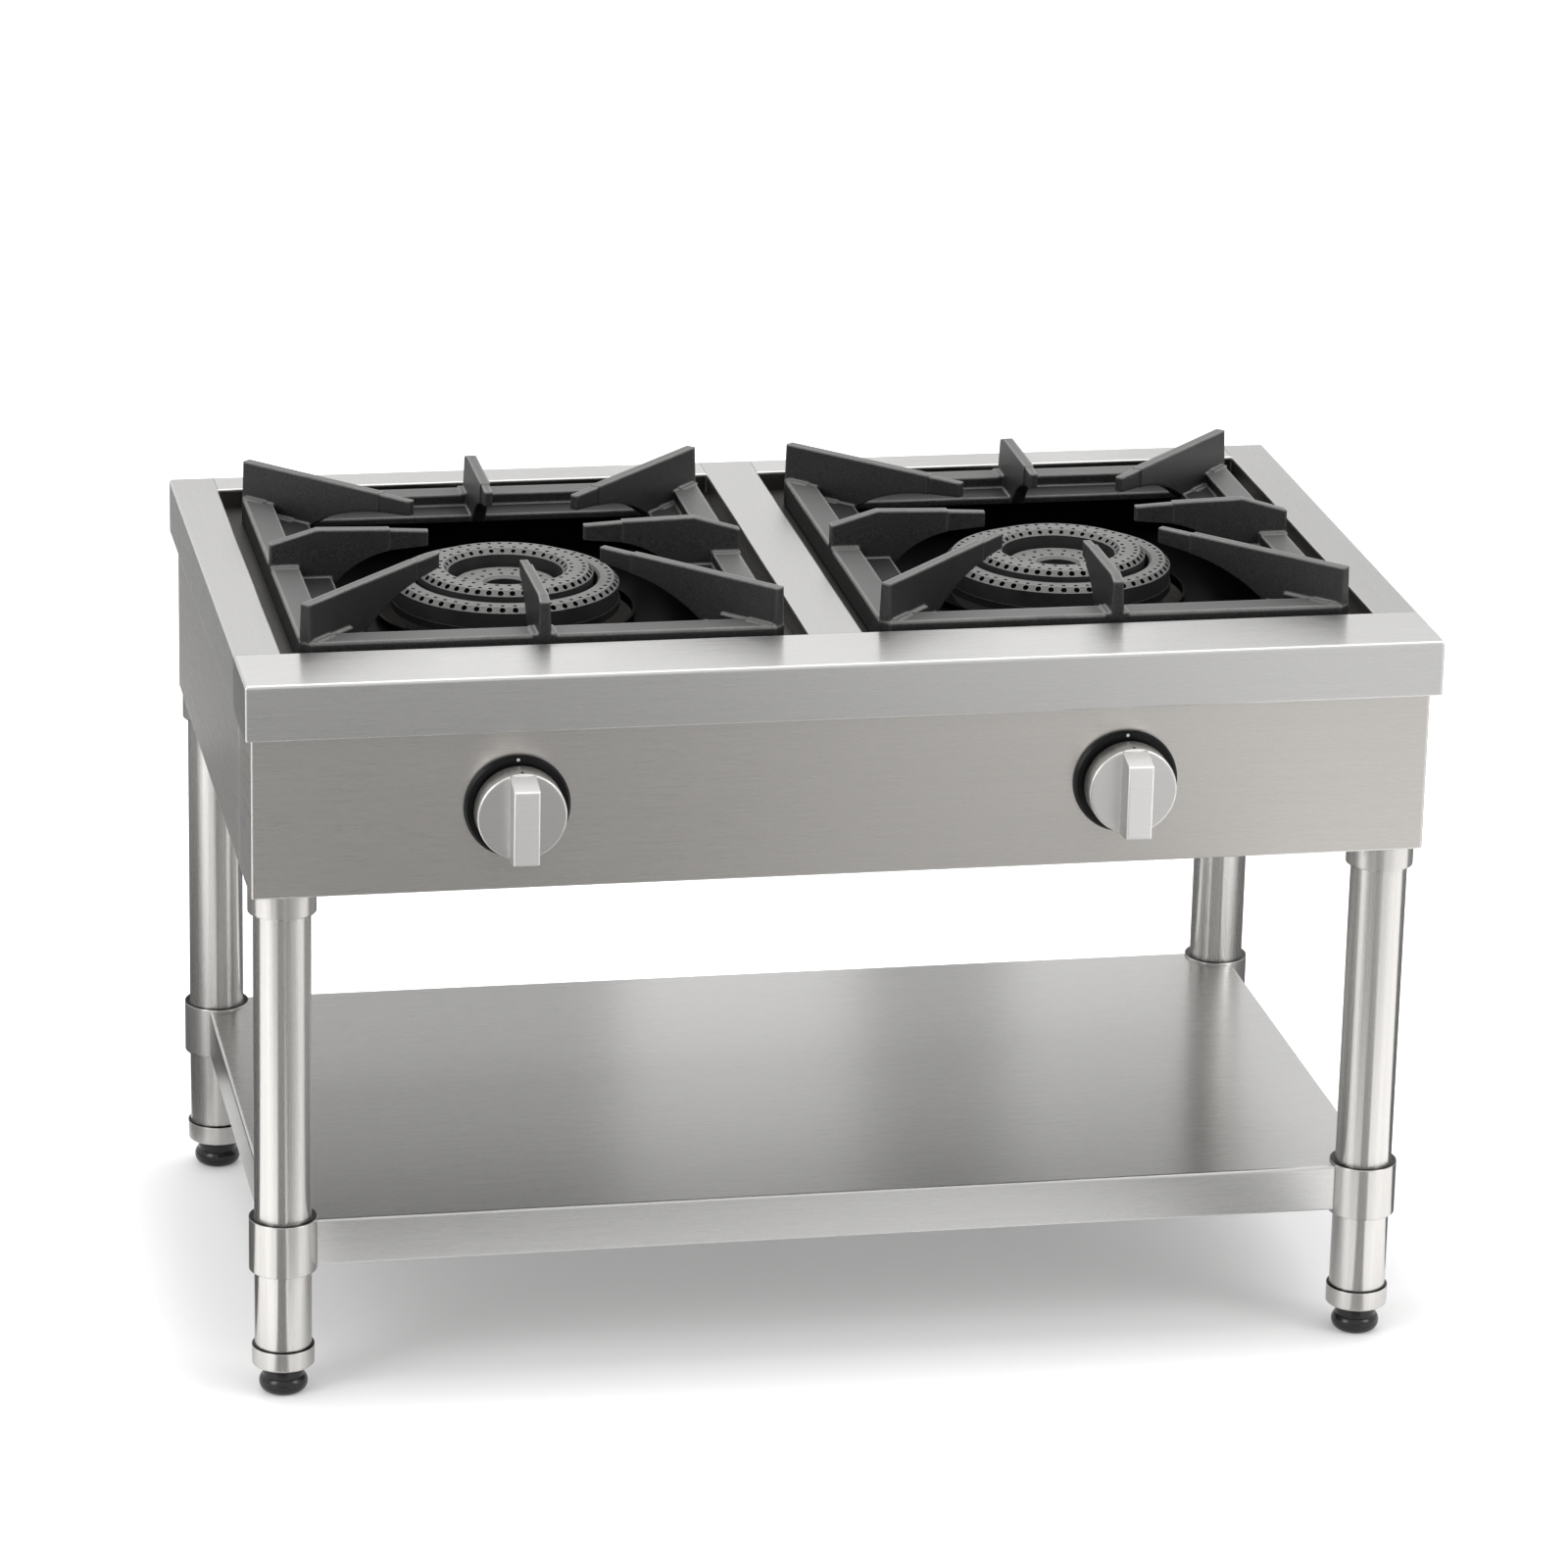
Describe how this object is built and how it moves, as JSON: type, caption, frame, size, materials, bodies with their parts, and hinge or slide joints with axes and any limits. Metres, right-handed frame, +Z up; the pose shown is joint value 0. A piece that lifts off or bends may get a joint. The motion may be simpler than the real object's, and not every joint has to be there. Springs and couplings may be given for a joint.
{
  "type": "stock pot range",
  "caption": "Low gas stock pot range: stainless worktop with lift-off cast grates over ring burners, knobs in front, on round legs with an undershelf.",
  "frame": {"origin": "on the floor under the middle of the range", "axes": "+X to the right of a cook at the front, +Y to the back, +Z up"},
  "size_m": [1, 0.682, 0.672],
  "materials": {
    "worktop_steel": "brushed satin stainless sheet",
    "panel_steel": "brushed satin stainless sheet",
    "tube_steel": "polished stainless tube",
    "shelf_steel": "brushed satin stainless sheet",
    "zinc_steel": "zinc-coated steel",
    "cast_iron": "matt black cast iron",
    "burner_iron": "machined cast iron",
    "enamel": "black vitreous enamel",
    "brass": "machined brass",
    "gas_pipe": "bent aluminium tube",
    "manifold_steel": "black painted steel tube",
    "knob_metal": "satin metal",
    "bezel_plastic": "black heat-proof plastic",
    "foot_plastic": "black moulded foot",
    "screw_steel": "stainless screw"
  },
  "bodies": {
    "stand": {"worktop": "worktop_steel", "front_panel": "panel_steel", "back_panel": "panel_steel", "back_panel_screws": "screw_steel", "leg_gussets": "zinc_steel", "leg_sockets": "tube_steel", "shelf_collars": "tube_steel", "set_screws": "screw_steel", "foot_sockets": "tube_steel", "undershelf": "shelf_steel", "shelf_stiffener": "zinc_steel", "burner_rails": "zinc_steel", "gas_manifold": "manifold_steel", "gas_inlet": "brass", "front_left_leg": "tube_steel", "front_right_leg": "tube_steel", "back_left_leg": "tube_steel", "back_right_leg": "tube_steel", "left_side_panel": "panel_steel", "left_grate_support": "worktop_steel", "left_burner_body": "burner_iron", "left_injector": "brass", "left_valve_body": "brass", "left_bezel": "bezel_plastic", "left_supply_pipe": "gas_pipe", "right_side_panel": "panel_steel", "right_grate_support": "worktop_steel", "right_burner_body": "burner_iron", "right_injector": "brass", "right_valve_body": "brass", "right_bezel": "bezel_plastic", "right_supply_pipe": "gas_pipe"},
    "front_left_foot": {"front_left_foot": "foot_plastic", "front_left_foot_stud": "zinc_steel"},
    "front_right_foot": {"front_right_foot": "foot_plastic", "front_right_foot_stud": "zinc_steel"},
    "back_left_foot": {"back_left_foot": "foot_plastic", "back_left_foot_stud": "zinc_steel"},
    "back_right_foot": {"back_right_foot": "foot_plastic", "back_right_foot_stud": "zinc_steel"},
    "left_valve_plug": {"left_valve_plug": "brass"},
    "left_knob": {"left_valve_stem": "brass", "left_knob": "knob_metal"},
    "left_drip_pan": {"left_drip_pan": "enamel"},
    "left_grate": {"left_grate": "cast_iron"},
    "left_outer_crown": {"left_outer_crown": "burner_iron"},
    "left_middle_crown": {"left_middle_crown": "burner_iron"},
    "left_inner_crown": {"left_inner_crown": "burner_iron"},
    "right_valve_plug": {"right_valve_plug": "brass"},
    "right_knob": {"right_valve_stem": "brass", "right_knob": "knob_metal"},
    "right_drip_pan": {"right_drip_pan": "enamel"},
    "right_grate": {"right_grate": "cast_iron"},
    "right_outer_crown": {"right_outer_crown": "burner_iron"},
    "right_middle_crown": {"right_middle_crown": "burner_iron"},
    "right_inner_crown": {"right_inner_crown": "burner_iron"}
  },
  "joints": [
    {"name": "front_left_foot_screw", "type": "slide", "parent": "stand", "child": "front_left_foot", "axis": [0, 0, -1], "range_m": [0, 0.025]},
    {"name": "front_right_foot_screw", "type": "slide", "parent": "stand", "child": "front_right_foot", "axis": [0, 0, -1], "range_m": [0, 0.025]},
    {"name": "back_left_foot_screw", "type": "slide", "parent": "stand", "child": "back_left_foot", "axis": [0, 0, -1], "range_m": [0, 0.025]},
    {"name": "back_right_foot_screw", "type": "slide", "parent": "stand", "child": "back_right_foot", "axis": [0, 0, -1], "range_m": [0, 0.025]},
    {"name": "left_tap_turn", "type": "hinge", "parent": "stand", "child": "left_valve_plug", "pos_m": [-0.276, -0.285, 0.52], "axis": [0, -1, 0], "range_deg": [0, 180]},
    {"name": "left_knob_push", "type": "slide", "parent": "left_valve_plug", "child": "left_knob", "axis": [0, 1, 0], "range_m": [0, 0.004], "stiffness_N_per_m": 1500, "springref_m": -0.004},
    {"name": "left_pan_lift", "type": "slide", "parent": "stand", "child": "left_drip_pan", "axis": [0, 0, 1], "range_m": [0, 0.1]},
    {"name": "left_grate_lift", "type": "slide", "parent": "left_drip_pan", "child": "left_grate", "axis": [0, 0, 1], "range_m": [0, 0.1]},
    {"name": "left_outer_crown_lift", "type": "slide", "parent": "stand", "child": "left_outer_crown", "axis": [0, 0, 1], "range_m": [0, 0.015]},
    {"name": "left_middle_crown_lift", "type": "slide", "parent": "stand", "child": "left_middle_crown", "axis": [0, 0, 1], "range_m": [0, 0.015]},
    {"name": "left_inner_crown_lift", "type": "slide", "parent": "stand", "child": "left_inner_crown", "axis": [0, 0, 1], "range_m": [0, 0.015]},
    {"name": "right_tap_turn", "type": "hinge", "parent": "stand", "child": "right_valve_plug", "pos_m": [0.234, -0.285, 0.52], "axis": [0, -1, 0], "range_deg": [0, 180]},
    {"name": "right_knob_push", "type": "slide", "parent": "right_valve_plug", "child": "right_knob", "axis": [0, 1, 0], "range_m": [0, 0.004], "stiffness_N_per_m": 1500, "springref_m": -0.004},
    {"name": "right_pan_lift", "type": "slide", "parent": "stand", "child": "right_drip_pan", "axis": [0, 0, 1], "range_m": [0, 0.1]},
    {"name": "right_grate_lift", "type": "slide", "parent": "right_drip_pan", "child": "right_grate", "axis": [0, 0, 1], "range_m": [0, 0.1]},
    {"name": "right_outer_crown_lift", "type": "slide", "parent": "stand", "child": "right_outer_crown", "axis": [0, 0, 1], "range_m": [0, 0.015]},
    {"name": "right_middle_crown_lift", "type": "slide", "parent": "stand", "child": "right_middle_crown", "axis": [0, 0, 1], "range_m": [0, 0.015]},
    {"name": "right_inner_crown_lift", "type": "slide", "parent": "stand", "child": "right_inner_crown", "axis": [0, 0, 1], "range_m": [0, 0.015]}
  ]
}
